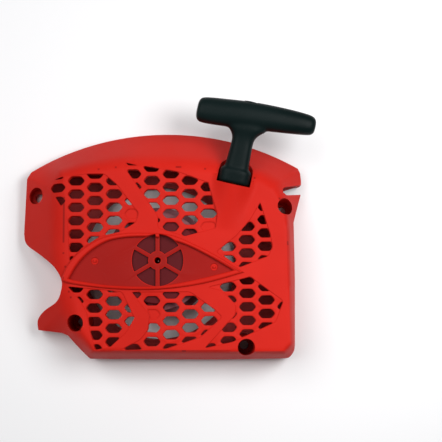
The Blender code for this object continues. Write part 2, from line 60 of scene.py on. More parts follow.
# The frames that shapes are drawn in: about the crank axis, along the pull, and with Z along the pull.
CRANK = Matrix.Translation((*joints["reel_spin"]["pos_m"][:2], 0)) @ Matrix.Scale(MM, 4)
SEAT = Vector((49.8, 50.5, 36.5))
PULL_AXIS = Vector(joints["handle_pull"]["axis"])
PULL_TURN = math.atan2(PULL_AXIS.x, PULL_AXIS.y)
PULL_RISE = math.asin(PULL_AXIS.z)
PULL = (
    CRANK
    @ Matrix.Translation(SEAT)
    @ Matrix.Rotation(-PULL_TURN, 4, "Z")
    @ Matrix.Rotation(PULL_RISE, 4, "X")
)
ALONG_PULL = PULL @ Matrix.Rotation(-math.pi / 2, 4, "X")


# Shader writing.


class Value:
    """A shader value, so that maths on it reads as maths."""

    def __init__(self, shader, socket):
        self.shader = shader
        self.socket = socket

    def maths(self, operation, *others):
        return self.shader.node("ShaderNodeMath", {"operation": operation}, self, *others)

    def __add__(self, other):
        return self.maths("ADD", other)

    __radd__ = __add__

    def __mul__(self, other):
        return self.maths("MULTIPLY", other)

    __rmul__ = __mul__

    def __sub__(self, other):
        return self.maths("SUBTRACT", other)

    def __rsub__(self, other):
        return self.shader.node("ShaderNodeMath", {"operation": "SUBTRACT"}, other, self)


class Shader:
    """A material and what is needed to write its nodes."""

    def __init__(self, name, **constants):
        self.material = bpy.data.materials.new(name)
        self.material.use_nodes = True
        self.tree = self.material.node_tree
        self.principled = self.tree.nodes["Principled BSDF"]
        for socket, value in constants.items():
            self.principled.inputs[socket.replace("_", " ")].default_value = value

    def node(self, kind, settings, *inputs, output=0, **named):
        made = self.tree.nodes.new(kind)
        for name, value in settings.items():
            if name == "stops":
                ramp = made.color_ramp
                while len(ramp.elements) < len(value):
                    ramp.elements.new(0.5)
                for element, (at, grey) in zip(ramp.elements, value):
                    element.position, element.color = at, (grey, grey, grey, 1)
            else:
                setattr(made, name, value)
        for key, value in [*enumerate(inputs), *named.items()]:
            socket = made.inputs[key if isinstance(key, int) else key.replace("_", " ")]
            if isinstance(value, Value):
                self.tree.links.new(value.socket, socket)
            else:
                socket.default_value = value
        return Value(self, made.outputs[output])

    def place(self):
        return self.node("ShaderNodeTexCoord", {}, output="Object")

    def noise(self, scale, detail=2.0, **named):
        return self.node("ShaderNodeTexNoise", {}, Vector=self.place(), Scale=scale, Detail=detail, **named)

    def ramp(self, value, *stops):
        return self.node("ShaderNodeValToRGB", {"stops": stops}, value)

    def mix(self, share, one, two):
        mixed = self.node("ShaderNodeMix", {"data_type": "RGBA"}, Factor=share, output=2)
        sockets = mixed.socket.node.inputs
        for socket, value in ((sockets[6], one), (sockets[7], two)):
            if isinstance(value, Value):
                self.tree.links.new(value.socket, socket)
            else:
                socket.default_value = (*value, 1)
        return mixed

    def feed(self, **sockets):
        for name, value in sockets.items():
            self.tree.links.new(value.socket, self.principled.inputs[name.replace("_", " ")])
        return self

    def bump(self, height, strength, distance):
        normal = self.node("ShaderNodeBump", {}, Strength=strength, Distance=distance, Height=height)
        return self.feed(Normal=normal)

    def put_on(self, obj):
        obj.data.materials.clear()
        obj.data.materials.append(self.material)


DUST = (0.5, 0.42, 0.4)


def moulded(name, dark, light, roughness, grain, specular):
    """Moulded plastic: flow marks and a little dust in its colour, and a fine grain that dulls its shine."""
    shader = Shader(name, Specular_IOR_Level=specular)
    flow = shader.ramp(shader.noise(16, 3), (0.35, 0), (0.65, 1))
    dust = shader.ramp(shader.noise(700, 3), (0.66, 0), (0.85, 0.03))
    colour = shader.mix(dust, shader.mix(flow, dark, light), DUST)
    shader.feed(Base_Color=colour, Roughness=shader.noise(60, 4) * 0.14 + (roughness - 0.07))
    return shader.bump(shader.noise(2600, 2), grain, 0.0002)


def metal(name, colour, roughness, scratch):
    """Plated or turned metal with fine scratches and dull spots."""
    shader = Shader(name, Metallic=1.0)
    spots = shader.noise(240, 4)
    dull = tuple(0.6 * c for c in colour)
    shader.feed(Base_Color=shader.mix(spots, dull, colour), Roughness=spots * 0.25 + (roughness - 0.1))
    return shader.bump(shader.noise(1500, 3), scratch, 0.0001)


def braided(name, light, dark, strand):
    """Rope: small lozenges of yarn with painted shade, lighter on their crowns and darker towards the grooves
    between them, and a scatter of darker flecks.
    """
    shader = Shader(name, Roughness=0.85, Specular_IOR_Level=0.2)
    scale = 1 / (strand * MM)
    cells = shader.node(
        "ShaderNodeTexVoronoi", {"feature": "F1"}, Vector=shader.place(), Scale=scale, output="Distance"
    )
    flecks = shader.ramp(shader.noise(0.5 * scale, 1), (0.6, 0), (0.7, 0.6))
    # Painted shade: the yarns' crowns take the light colour and the grooves between them the dark one; the
    # flecks are the rope's own colour.
    shader.feed(Base_Color=shader.mix(flecks, shader.mix(cells, light, dark), dark))
    return shader.bump(1 - cells, 0.9, 0.0004)


RED = moulded("red_nylon", (0.44, 0.010, 0.005), (0.50, 0.013, 0.007), 0.55, 0.22, 0.08)
# A darker copy of the red nylon: painted shade for the badge recess's floor.
PAINTED_SHADE_RED = moulded("recess_painted_shade_red", (0.25, 0.005, 0.003), (0.28, 0.006, 0.004), 0.5, 0.12, 0.08)
PLUM = moulded("plum_nylon", (0.22, 0.075, 0.09), (0.27, 0.095, 0.11), 0.55, 0.3, 0.2)
MAROON = moulded("maroon_nylon", (0.30, 0.022, 0.022), (0.36, 0.028, 0.028), 0.5, 0.3, 0.15)
DRUM = moulded("spring_drum_nylon", (0.075, 0.004, 0.006), (0.10, 0.007, 0.010), 0.5, 0.3, 0.08)
GRIP = moulded("grip_plastic", (0.002, 0.006, 0.006), (0.004, 0.009, 0.009), 0.42, 0.35, 0.06)
ZINC = metal("zinc_plate", (0.62, 0.62, 0.6), 0.32, 0.3)
SPRING = metal("oiled_spring_steel", (0.22, 0.22, 0.23), 0.3, 0.2)
SINTERED = metal("sintered_steel", (0.36, 0.35, 0.34), 0.5, 0.6)
BRASS = metal("brass", (0.68, 0.48, 0.2), 0.28, 0.2)
# The dark colour serves both as painted shade between the yarns and as the rope's darker flecks.
ROPE = braided("nylon_rope", (0.74, 0.69, 0.58), (0.42, 0.36, 0.28), 0.9)

FINISHES = {
    RED: ["starter_cover"],
    PLUM: ["rope_reel"],
    MAROON: ["air_baffle"],
    DRUM: ["spring_case"],
    GRIP: ["handle_grip", "handle_cap"],
    ZINC: [
        "spindle_sleeve", "spring_case_lid", "reel_washer", "reel_screw", "handle_insert",
        *(f"case_screw_{i}" for i in (1, 2, 3)), *(f"baffle_screw_{i}" for i in (1, 2, 3, 4)),
    ],
    SPRING: ["mainspring"],
    SINTERED: ["drive_cup"],
    BRASS: ["rope_eyelet"],
    ROPE: ["rope_winding", "rope_run", "rope_tail", "reel_knot", "handle_knot"],
}
for shader, names in FINISHES.items():
    for name in names:
        shader.put_on(nodes[name])


# Modelling helpers.


def arc(centre, radius, start, end, steps):
    """Points along a circle, from one angle in degrees to another."""
    angles = [math.radians(start + (end - start) * i / steps) for i in range(steps + 1)]
    return [(centre[0] + radius * math.cos(a), centre[1] + radius * math.sin(a)) for a in angles]


def between(t, p, q, r, s):
    """One coordinate of a Catmull-Rom curve, a share t of the way from q to r."""
    square, cube = 2 * p - 5 * q + 4 * r - s, 3 * q - p - 3 * r + s
    return 0.5 * (2 * q + (r - p) * t + square * t**2 + cube * t**3)


def smooth(points, steps):
    """A smooth curve through the points, open at both ends."""
    ends = [points[0], *points, points[-1]]
    found = []
    for four in zip(ends, ends[1:], ends[2:], ends[3:]):
        for i in range(steps):
            found.append(tuple(between(i / steps, *values) for values in zip(*four)))
    return [*found, points[-1]]


def inset(outline, distance):
    """The outline moved inwards by a distance, or outwards by a negative one; it runs anticlockwise."""
    moved = []
    for i, here in enumerate(outline):
        before = Vector(here) - Vector(outline[i - 1])
        after = Vector(outline[(i + 1) % len(outline)]) - Vector(here)
        one = Vector((-before.y, before.x)).normalized()
        two = Vector((-after.y, after.x)).normalized()
        middle = (one + two).normalized()
        moved.append(tuple(Vector(here) + middle * (distance / max(middle.dot(one), 0.5))))
    return moved


def rounded(outline, radius):
    """The outline with each corner cut back by a radius, or less on short sides, and rounded."""
    found = []
    for i, here in enumerate(outline):
        corner = Vector(here)
        before = Vector(outline[i - 1]) - corner
        after = Vector(outline[(i + 1) % len(outline)]) - corner
        back = min(radius, 0.45 * before.length, 0.45 * after.length)
        start, end = corner + before.normalized() * back, corner + after.normalized() * back
        for t in (0, 0.33, 0.67, 1):
            found.append(tuple(start * (1 - t) ** 2 + corner * 2 * t * (1 - t) + end * t**2))
    return found


def grown(outline, distance):
    """A small outline with each point moved away from its middle."""
    middle = sum((Vector(p) for p in outline), Vector((0, 0))) / len(outline)
    return [tuple(Vector(p) + (Vector(p) - middle).normalized() * distance) for p in outline]


def clipped(outline, cell):
    """The part of an outline inside a convex cell; both run anticlockwise."""
    for a, b in zip(cell, cell[1:] + cell[:1]):
        side = [(b[0] - a[0]) * (y - a[1]) - (b[1] - a[1]) * (x - a[0]) for x, y in outline]
        kept = []
        for i, here in enumerate(outline):
            before = outline[i - 1]
            if (side[i] > 0) != (side[i - 1] > 0):
                share = side[i - 1] / (side[i - 1] - side[i])
                kept.append(tuple(p + (q - p) * share for p, q in zip(before, here)))
            if side[i] > 0:
                kept.append(here)
        outline = kept
    return outline


def parted(outline):
    """The outline as separate loops, where clipping left two of them joined by a line of no width."""
    edges = list(zip(outline, outline[1:] + outline[:1]))
    for i, (a, b) in enumerate(edges):
        along = Vector(b) - Vector(a)
        for j in range(i + 1, len(edges)):
            c, d = edges[j]
            if along.length < 1e-6 or along.dot(Vector(d) - Vector(c)) >= 0:
                continue
            places = [(Vector(p) - Vector(a)).dot(along) / along.length_squared for p in (c, d)]
            off = max(abs(along.cross(Vector(p) - Vector(a))) / along.length for p in (c, d))
            if off < 1e-4 and max(0, places[1]) < min(1, places[0]) - 1e-6:
                return parted(outline[i + 1 : j + 1]) + parted(outline[j + 1 :] + outline[: i + 1])
    return [outline]


def area(outline):
    """The area inside an outline that runs anticlockwise."""
    return sum(a[0] * b[1] - a[1] * b[0] for a, b in zip(outline, outline[1:] + outline[:1])) / 2


def without_doubles(outline, least=0.05):
    """The outline without each point that is nearer than this to the one before it."""
    return [p for i, p in enumerate(outline) if math.dist(p, outline[i - 1]) > least]


def level(outline, z):
    """The outline as points in space, all at one height."""
    return [(x, y, z) for x, y in outline]


def circle(centre, radius, steps=48):
    return arc(centre, radius, 0, 360, steps)[:-1]


def only(obj):
    """Makes this the one selected, active object."""
    bpy.ops.object.select_all(action="DESELECT")
    obj.select_set(True)
    bpy.context.view_layer.objects.active = obj
    return obj


def settle(obj, place):
    """Puts the place into the mesh, merges doubles and turns all faces outwards."""
    obj.data.transform(place)
    only(obj)
    bpy.ops.object.mode_set(mode="EDIT")
    bpy.ops.mesh.select_all(action="SELECT")
    bpy.ops.mesh.remove_doubles(threshold=1e-7)
    bpy.ops.mesh.normals_make_consistent(inside=False)
    bpy.ops.object.mode_set(mode="OBJECT")
    return obj


def stacks(name, rings_of, place=CRANK):
    """One object of closed skins, each through a stack of rings with as many points as each other."""
    points, faces = [], []
    for rings in rings_of:
        count = len(rings[0])
        first = len(points)
        for ring in rings:
            points += ring
        for low in range(first, first + count * (len(rings) - 1), count):
            for i in range(count):
                after = (i + 1) % count
                faces.append((low + i, low + after, low + count + after, low + count + i))
        faces.append(tuple(range(first + count - 1, first - 1, -1)))
        faces.append(tuple(range(len(points) - count, len(points))))
    data = bpy.data.meshes.new(name)
    data.from_pydata(points, [], faces)
    obj = bpy.data.objects.new(name, data)
    bpy.context.scene.collection.objects.link(obj)
    return settle(obj, place)


def prisms(name, outlines, low, high, place=CRANK):
    """One object of upright prisms between two heights."""
    return stacks(name, [[level(outline, low), level(outline, high)] for outline in outlines], place)


def turned(name, profile, steps=64, place=CRANK):
    """A profile of (radius, height) points spun about the frame's Z axis, and closed if it starts off it."""
    ends = [] if profile[0][0] == 0 else [(len(profile) - 1, 0)]
    data = bpy.data.meshes.new(name)
    data.from_pydata([(r, 0, z) for r, z in profile], [(i - 1, i) for i in range(1, len(profile))] + ends, [])
    obj = bpy.data.objects.new(name, data)
    bpy.context.scene.collection.objects.link(obj)
    only(obj)
    bpy.ops.object.mode_set(mode="EDIT")
    bpy.ops.mesh.select_all(action="SELECT")
    bpy.ops.mesh.spin(steps=steps, angle=math.tau, center=(0, 0, 0), axis=(0, 0, 1))
    bpy.ops.object.mode_set(mode="OBJECT")
    return settle(obj, place)


def combine(target, tool, operation="DIFFERENCE"):
    """Applies a Boolean and removes the tool."""
    only(target)
    modifier = target.modifiers.new(operation, "BOOLEAN")
    modifier.operation = operation
    modifier.object = tool
    bpy.ops.object.modifier_apply(modifier=modifier.name)
    bpy.data.objects.remove(tool, do_unlink=True)
    return target


# The cover.

# Heights of the flat top, of the straight lip's upper edge, and the wall's thickness.
DECK_Z, LIP_Z, WALL = 40.0, 8.0, 2.5
# Heights of the vent patches, the badge rib's crown and the badge recess.
PATCH_Z, RIB_Z, RECESS_Z = 39.5, 42.0, 39.2
SHOULDER = 9.0  # how far below the deck its rounded edge begins
ABOVE = 60.0  # a height clear above the cover, where cutters end
LATTICE_Z = 34.0  # the underside of the vents' webs, where nothing turns below them
RIM = [
    (-46.5, -64.6),
    (37.0, -66.1),
    *arc((84.6, -59.3), 6.2, -90, 0, 10),
    (92.2, -12.0),
    (91.7, 26.4),
    (97.4, 46.0),
    (97.9, 56.0),
    (97.3, 61.0),
    *arc((5.0, -92.9), 181.7, 60, 121, 60),
    (-91.3, 57.8),
    *smooth(
        [
            (-93.1, 20.0), (-90.6, 12.6), (-78.1, 4.2), (-68.3, -3.3), (-63.3, -10.5), (-62.4, -17.0),
            (-66.1, -25.9), (-76.5, -32.3), (-82.2, -38.5), (-82.2, -45.3),
        ],
        6,
    ),
    (-64.0, -47.0),
    (-59.6, -48.6),
    (-55.0, -54.4),
]
FLANK_FOOT = [
    (-47.0, -66.5), (88.0, -67.0), (93.0, -60.0), (93.5, 26.0), (99.0, 48.0), (98.5, 62.0),
    *arc((5.0, -92.9), 182.7, 60, 121, 24),
    (-93.5, 60.0), (-94.0, 18.0), (-90.0, -28.0), (-84.0, -50.0),
]
DECK = [
    (-42.0, -58.8), (82.0, -60.5), (87.0, -55.0), (86.0, 20.0), (84.0, 36.0), (78.0, 49.0),
    (68.0, 55.5), (51.0, 59.8), (33.0, 62.8), (15.0, 64.3), (-5.0, 64.6), (-24.0, 64.4),
    (-40.0, 62.4), (-54.0, 60.0), (-63.0, 57.5), (-64.5, 50.0), (-64.5, 6.0), (-61.0, -20.0), (-53.0, -44.0),
]
EYE_LOW = [(-62.3, -12.4), (-53.7, -15.2), (-29.0, -18.3), (0.0, -18.9), (28.8, -15.4), (56.2, -8.2)]
EYE_HIGH = [
    (56.2, -8.2), (40.0, 1.9), (24.8, 9.9), (8.2, 16.6), (-12.5, 18.0), (-25.0, 17.3),
    (-37.4, 14.4), (-49.7, 6.6), (-57.9, -2.4), (-62.3, -12.4),
]
EYE = smooth(EYE_LOW, 6)[:-1] + smooth(EYE_HIGH, 6)[:-1]
FLOOR_LOW = [(-57.4, -11.6), (-51.0, -13.1), (-29.0, -16.2), (0.0, -16.7), (24.0, -12.9), (49.4, -6.9)]
FLOOR_HIGH = [
    (49.4, -6.9), (33.1, 2.8), (16.5, 10.8), (0.0, 14.8), (-13.5, 15.4), (-25.0, 14.5),
    (-34.4, 11.9), (-44.4, 5.6), (-52.0, -2.4), (-57.4, -11.6),
]
EYE_FLOOR = smooth(FLOOR_LOW, 6)[:-1] + smooth(FLOOR_HIGH, 6)[:-1]
PATCHES = (
    [
        (-74.0, 52.0), (-62.3, 34.7), (-58.3, 26.8), (-57.0, 0.0), (-49.7, 8.2), (-37.4, 16.0), (-24.4, 18.9),
        (-14.0, 25.2), (-12.7, 31.1), (-26.4, 49.7), (-35.0, 57.0), (-45.5, 57.0), (-65.1, 55.0),
    ],
    [
        (-24.5, 65.6), (-4.8, 37.0), (0.4, 29.1), (0.4, 21.2), (18.0, 15.8), (37.7, 20.9), (39.1, 29.5),
        (33.3, 50.7), (28.0, 52.7), (13.6, 58.1), (-11.4, 62.9),
    ],
    [
        (67.4, 37.3), (60.7, 26.1), (51.4, 15.6), (38.2, 5.2), (53.8, -4.7), (72.2, 2.4), (74.9, 8.3),
        (73.7, 16.1),
    ],
    [
        (-58.5, -16.6), (-50.1, -25.3), (-45.5, -33.1), (-43.5, -44.7), (-40.2, -57.5), (-30.6, -55.7),
        (-20.3, -46.2), (-15.1, -37.2), (-23.0, -20.3),
    ],
    [
        (-16.5, -20.6), (-4.8, -35.4), (-6.1, -45.0), (-11.2, -51.4), (-24.1, -57.8), (4.9, -57.2),
        (27.5, -49.8), (41.8, -37.0), (37.3, -32.5), (21.2, -20.7),
    ],
    [
        (32.9, -17.7), (42.0, -19.6), (51.0, -29.3), (50.3, -35.8), (30.7, -56.8), (48.2, -53.1),
        (65.1, -45.6), (76.2, -40.5), (81.6, -27.0), (60.3, -11.2),
    ],
)
SLOT = [(85.6, 43.3), (100.0, 46.8), (100.0, 53.6), (89.0, 50.2), (84.6, 48.8), (82.8, 47.2), (83.2, 44.8)]
MOUNT_HOLES = ((-83.3, 45.2), (84.4, 35.3), (-53.6, -40.2), (57.4, -56.7))
BAFFLE_SCREWS = ((-79.0, 22.0), (-8.0, 76.0), (82.0, 2.0), (77.0, -55.0))
CASE_SCREWS = ((-16.9, 30.4), (33.2, 21.7), (-1.1, -36.3))
BADGE_PEGS = ((-40.7, -0.1), (36.9, -4.5))
MOUNT_BOSS_R, MOUNT_WELL_R, MOUNT_BORE_R = 7.6, 5.6, 3.1
POCKET_R, POCKET_WALL = 11.2, 2.0
WORKS_R = 41.0  # the space that the reel and the spring case's ears need
VENT_PITCH_X, VENT_PITCH_Y = 12.4, 8.75
VENT_CELL = ((5.65, 0), (3.1, 3), (-3.1, 3), (-5.65, 0), (-3.1, -3), (3.1, -3))
WINDOW_OUT_R, WINDOW_IN_R, SPOKE_HALF = 16.8, 6.1, 1.25


def reach(points, outline):
    """Each point's distance from an outline, and whether it lies inside it."""
    far = np.full(len(points), np.inf)
    inside = np.zeros(len(points), bool)
    x, y = points[:, 0], points[:, 1]
    for (ax, ay), (bx, by) in zip(outline, outline[1:] + outline[:1]):
        dx, dy = bx - ax, by - ay
        share = np.clip(((x - ax) * dx + (y - ay) * dy) / (dx * dx + dy * dy), 0, 1)
        far = np.minimum(far, np.hypot(x - ax - share * dx, y - ay - share * dy))
        if dy:
            inside ^= ((ay > y) != (by > y)) & (x < ax + (y - ay) * dx / dy)
    return far, inside


def soft_least(a, b, width):
    """The lower of two heights, with the corner between them rounded."""
    overlap = np.clip(width - np.abs(a - b), 0, None) / width
    return np.minimum(a, b) - overlap**2 * width / 4


def outer_height(points, sink, draw_in):
    """The cover's outer face over points of its plan; sink and draw_in give its inner face."""
    to_foot, in_foot = reach(points, inset(FLANK_FOOT, draw_in))
    to_deck, in_deck = reach(points, inset(DECK, draw_in))
    to_foot = np.where(in_foot, to_foot, -to_foot)
    to_deck = np.where(in_deck, -to_deck, to_deck)
    rise = (DECK_Z - LIP_Z) * to_foot / np.maximum(to_foot + to_deck, 1)
    height = soft_least(LIP_Z + rise, np.full(len(points), DECK_Z), SHOULDER) - sink
    return np.maximum(height, -4)


def hood_rise(points):
    """The soft hump of the hood behind the handle's seat."""
    turn = Matrix.Rotation(PULL_TURN, 2)
    flat = (points - np.array(SEAT.xy)) @ np.array(turn).T
    across, back = flat[:, 0], -flat[:, 1]
    fade = np.clip(1 - (back + 1) / 33, 0, 1)
    width = 10.5 + 5.0 * fade
    hump = np.cos(np.clip(np.abs(across) / width, 0, 1) * math.pi / 2) ** 1.5
    return 8.6 * fade**1.25 * hump * (back > -3)


def plan_solid(name, step, sink=0.0, draw_in=0.0, hood=False):
    """A solid from below the rim up to the cover's outer face."""
    across, up = int(206 / step), int(166 / step)
    bpy.ops.mesh.primitive_grid_add(x_subdivisions=across, y_subdivisions=up, size=1)
    obj = bpy.context.object
    obj.name = name
    data = obj.data
    data.transform(Matrix.Translation((2, 12, 0)) @ Matrix.Diagonal((across * step, up * step, 1, 1)))
    points = np.empty(len(data.vertices) * 3)
    data.vertices.foreach_get("co", points)
    points = points.reshape(-1, 3)
    points[:, 2] = outer_height(points[:, :2], sink, draw_in)
    if hood:
        points[:, 2] += hood_rise(points[:, :2])
    data.vertices.foreach_set("co", points.ravel())
    only(obj)
    bpy.ops.object.mode_set(mode="EDIT")
    bpy.ops.mesh.select_all(action="SELECT")
    bpy.ops.mesh.extrude_region_move(TRANSFORM_OT_translate={"value": (0, 0, -1)})
    bpy.ops.transform.resize(value=(1, 1, 0))
    bpy.ops.object.mode_set(mode="OBJECT")
    low = [v.index for v in data.vertices if v.select]
    for i in low:
        data.vertices[i].co.z = -8 - sink
    return settle(obj, CRANK)


def honeycomb():
    """The outline of every vent cell, and of each cell that stays closed over a screw boss."""
    through, closed = [], []
    for column in range(-6, 8):
        for row in range(-8, 9):
            x, y = -3.65 + column * VENT_PITCH_X, (row + column % 2 / 2) * VENT_PITCH_Y
            over_boss = any(math.hypot(x - a, y - b) < 3 for a, b in CASE_SCREWS)
            cell = [(x + dx, y + dy) for dx, dy in VENT_CELL]
            for patch in PATCHES:
                for found in parted(without_doubles(clipped(patch, cell))):
                    found = without_doubles(found, 0.7)
                    if len(found) > 2 and area(found) > 1.5:
                        (closed if over_boss else through).append(rounded(found, 1.1))
    return through, closed


def flared(outlines, low, rim, spread):
    """Cutters that widen where they meet the outer face, so that they leave a rounded edge."""
    steps = ((0, -spread), (0.1, -0.55 * spread), (0.35, -0.2 * spread), (1, 0))
    found = []
    for outline in outlines:
        edge = [level(grown(outline, out * spread), rim + z) for out, z in steps]
        found.append([level(outline, low), *edge, level(grown(outline, spread), ABOVE)])
    return found


def windows():
    """The outlines of the six windows between the spokes round the crank axis."""
    found = []
    for i in range(6):
        sides = []
        for radius, order in ((WINDOW_OUT_R, 1), (WINDOW_IN_R, -1)):
            spoke = math.degrees(math.asin(SPOKE_HALF / radius))
            start, end = (30 + 60 * i + spoke, 90 + 60 * i - spoke)[::order]
            sides += arc((0, 0), radius, start, end, 12)
        found.append(rounded(sides, 0.8))
    return found


def pocket_section(radius, top):
    """A U-shaped section across the pull: (across, up) points, open sides up to the top."""
    return [*arc((0, 0), radius, 180, 360, 24), (radius, top), (-radius, top)]


def stepped(outline, steps):
    """A ring for each (distance, height): the outline drawn in by the distance, at the height."""
    return [level(inset(outline, distance), z) for distance, z in steps]


def add_posts():
    """All that stays solid inside the cover: posts, the vents' deep webs and the pocket's tub."""
    posts = prisms("posts", [circle(at, MOUNT_BOSS_R) for at in MOUNT_HOLES], -20, 70)
    for outlines, low in (
        ([circle(at, 3.6, 24) for at in BAFFLE_SCREWS], 7.3),
        ([circle(at, 3.2, 24) for at in CASE_SCREWS], 35.5),
        ([circle((0, 0), 5.6)], 14.5),
    ):
        combine(posts, prisms("more posts", outlines, low, ABOVE), "UNION")
    lattice = prisms("lattice", [rounded(patch, 2.0) for patch in PATCHES], LATTICE_Z, ABOVE)
    combine(lattice, prisms("works", [circle((0, 0), WORKS_R, 64)], 0, 70))
    combine(posts, lattice, "UNION")
    tub = [[(x, y, z) for x, z in pocket_section(POCKET_R + POCKET_WALL, 30)] for y in (-3.0, 24.0)]
    return combine(posts, stacks("tub", [tub], PULL), "UNION")


def add_badge_recess(cover):
    """The rounded rib, and the sunken floor inside it."""
    bead = [(0, 38.5), (0, 40.8), (0.25, 41.4), (0.7, 41.85), (1.3, RIB_Z)]
    combine(cover, stacks("rib", [stepped(EYE, bead)]), "UNION")
    floor = [(0, RECESS_Z), (0, 41.0), (-0.3, 41.6), (-0.9, RIB_Z), (-0.9, ABOVE)]
    combine(cover, stacks("recess", [stepped(EYE_FLOOR, floor)]))


def add_badge_pegs(cover):
    """Two small pegs on the recess's floor, each in a groove of its own."""
    groove = [(1.0, 38.5), (2.0, 38.5), (2.4, 39.1), (2.6, 41), (1.0, 41)]
    peg = [(0, 38), (0.98, 38), (0.98, 39.5), (0.6, 39.9), (0, 40)]
    for at in BADGE_PEGS:
        around = CRANK @ Matrix.Translation((*at, 0))
        combine(cover, turned("peg groove", groove, 32, around))
        combine(cover, turned("peg", peg, 24, around), "UNION")


def add_pocket(cover):
    """The handle's seat under the hood, and the eyelet's hole at its end."""
    pocket = [[(x, y, z) for x, z in pocket_section(POCKET_R, 40)] for y in (0, 45)]
    combine(cover, stacks("pocket", [pocket], PULL))
    combine(cover, turned("eyelet hole", [(0, -30), (4.2, -30), (4.2, 1), (0, 1)], 32, ALONG_PULL))


def shade_recess(cover):
    """Paints shade onto the recess's floor: its faces take a darker copy of the red nylon."""
    cover.data.materials.append(PAINTED_SHADE_RED.material)
    low, high = RECESS_Z - 0.02, RECESS_Z + 0.02
    # Faces at the recess floor's height take the painted shade.
    for face in cover.data.polygons:
        place = CRANK.inverted() @ face.center
        if low < place.z < high:
            face.material_index = 1


def starter_cover():
    rim = prisms("rim", [RIM], 0, ABOVE)
    cover = combine(plan_solid("moulded_cover", 1.25, hood=True), rim, "INTERSECT")
    posts = add_posts()
    inner_rim = prisms("inner rim", [inset(RIM, WALL)], -20, ABOVE)
    hollow = combine(plan_solid("hollow", 3.0, sink=WALL, draw_in=WALL), inner_rim, "INTERSECT")
    combine(hollow, posts)
    combine(cover, hollow)
    edges = [(0, PATCH_Z), (-0.1, PATCH_Z + 0.15), (-0.35, DECK_Z), (-0.35, ABOVE)]
    combine(cover, stacks("patches", [stepped(rounded(patch, 2.0), edges) for patch in PATCHES]))
    add_badge_recess(cover)
    add_pocket(cover)
    wells = flared([circle(at, MOUNT_WELL_R) for at in MOUNT_HOLES], 6, ABOVE, 0.01)
    wells += flared([SLOT], -5, ABOVE, 0.01)
    wells += flared([circle((0, 0), 2.15, 24)], 10, RECESS_Z, 0.4)
    combine(cover, stacks("wells", wells))
    combine(cover, prisms("bores", [circle(at, MOUNT_BORE_R, 32) for at in MOUNT_HOLES], -5, 20))
    add_badge_pegs(cover)
    through, closed = honeycomb()
    vents = flared(through, 20, PATCH_Z, 0.6) + flared(closed, 38.7, PATCH_Z, 0.6)
    combine(cover, stacks("vents", vents + flared(windows(), 20, RECESS_Z, 0.4)))
    only(cover)
    bpy.ops.object.shade_smooth_by_angle(angle=math.radians(32))
    RED.put_on(cover)
    shade_recess(cover)
    stand_in(cover, "housing", "starter_cover")


def stand_in(piece, body, slot, *replaced):
    """The finished piece rides on its body and stands for CAD nodes, the slot's own where none is named."""
    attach(piece, body)
    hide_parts(*(replaced or (slot,)))


starter_cover()


# The handle.

# Along the stem: (y, half width, half depth), and along the bar: (x, lowest y, highest y, half depth).
STEM = [
    (0.5, 9.8, 8.3), (1.2, 10.4, 8.9), (8.4, 10.4, 8.9), (9.6, 10.0, 8.6), (10.6, 8.0, 7.7),
    (16.0, 7.6, 7.4), (27.0, 7.1, 7.0), (30.0, 7.3, 7.1), (32.6, 8.3, 7.4), (34.8, 10.2, 7.9),
    (36.6, 12.6, 8.2), (40.0, 15.0, 8.2), (45.0, 10.0, 7.0),
]
BAR = [
    (-33.7, 39.4, 47.2, 5.0), (-32.8, 36.6, 49.8, 8.2), (-29.5, 34.8, 51.6, 9.5), (-16.0, 35.4, 53.4, 9.8),
    (2.0, 37.2, 55.2, 9.45), (22.0, 39.2, 55.7, 8.7), (38.0, 41.2, 55.1, 7.7), (43.0, 42.4, 53.6, 6.2),
    (44.5, 44.4, 50.8, 3.6),
]
CHAMBER_Y, CHAMBER_R, ROPE_R = 41.0, 5.2, 1.75


def soft_oval(half_a, half_b, power, steps=48):
    """Points round an oval, squarer at its corners the higher the power."""
    found = []
    for i in range(steps):
        c, s = math.cos(math.tau * i / steps), math.sin(math.tau * i / steps)
        a = half_a * math.copysign(abs(c) ** (2 / power), c)
        found.append((a, half_b * math.copysign(abs(s) ** (2 / power), s)))
    return found


def handle_grip():
    """Stem and bar under one softened skin, with the rope's bore and the knot's chamber."""
    stem = [[(x, y, z) for x, z in soft_oval(a, b, 3.2)] for y, a, b in STEM]
    bar = []
    for x, low, high, depth in smooth(BAR, 3):
        ring = []
        for dy, dz in soft_oval((high - low) / 2, depth, 2.5):
            lean = 1 - 0.10 * max(dz, 0) / depth * dy / (high - low)
            ring.append((x, (low + high) / 2 + dy, dz * lean))
        bar.append(ring)
    grip = combine(stacks("pull_grip", [stem], PULL), stacks("bar", [bar], PULL), "UNION")
    only(grip)
    remesh = grip.modifiers.new("even skin", "REMESH")
    remesh.mode = "VOXEL"
    remesh.voxel_size = 0.7 * MM
    bpy.ops.object.modifier_apply(modifier=remesh.name)
    relax = grip.modifiers.new("soften", "SMOOTH")
    relax.factor, relax.iterations = 0.5, 14
    bpy.ops.object.modifier_apply(modifier=relax.name)
    bore = [(0, -5), (5.8, -5), (5.8, 1.5), (2.6, 2.2), (2.6, 45), (0, 45)]
    combine(grip, turned("rope bore", bore, 32, ALONG_PULL))
    chamber = [(0, CHAMBER_Y), (CHAMBER_R, CHAMBER_Y), (CHAMBER_R, 70), (0, 70)]
    combine(grip, turned("chamber", chamber, 40, ALONG_PULL))
    only(grip)
    bpy.ops.object.shade_smooth_by_angle(angle=math.radians(40))
    GRIP.put_on(grip)
    stand_in(grip, "handle", "handle_grip")


handle_grip()


# Turned pieces. A profile's points are (radius, height), and it is closed or starts and ends on the axis.


def eased(profile, radius):
    """The profile with its corners rounded, leaving the ends of one that starts on the axis."""
    if profile[0][0] > 0:
        return rounded(profile, radius)
    return [profile[0], *rounded(profile, radius)[4:-4], profile[-1]]


def turned_piece(name, material, body, slot, replaced, place, ease, profile):
    """A finished turned piece, its corners eased by a radius."""
    piece = turned(name, eased(profile, ease), 72, place)
    bpy.ops.object.shade_smooth_by_angle(angle=math.radians(35))
    material.put_on(piece)
    stand_in(piece, body, slot, replaced)


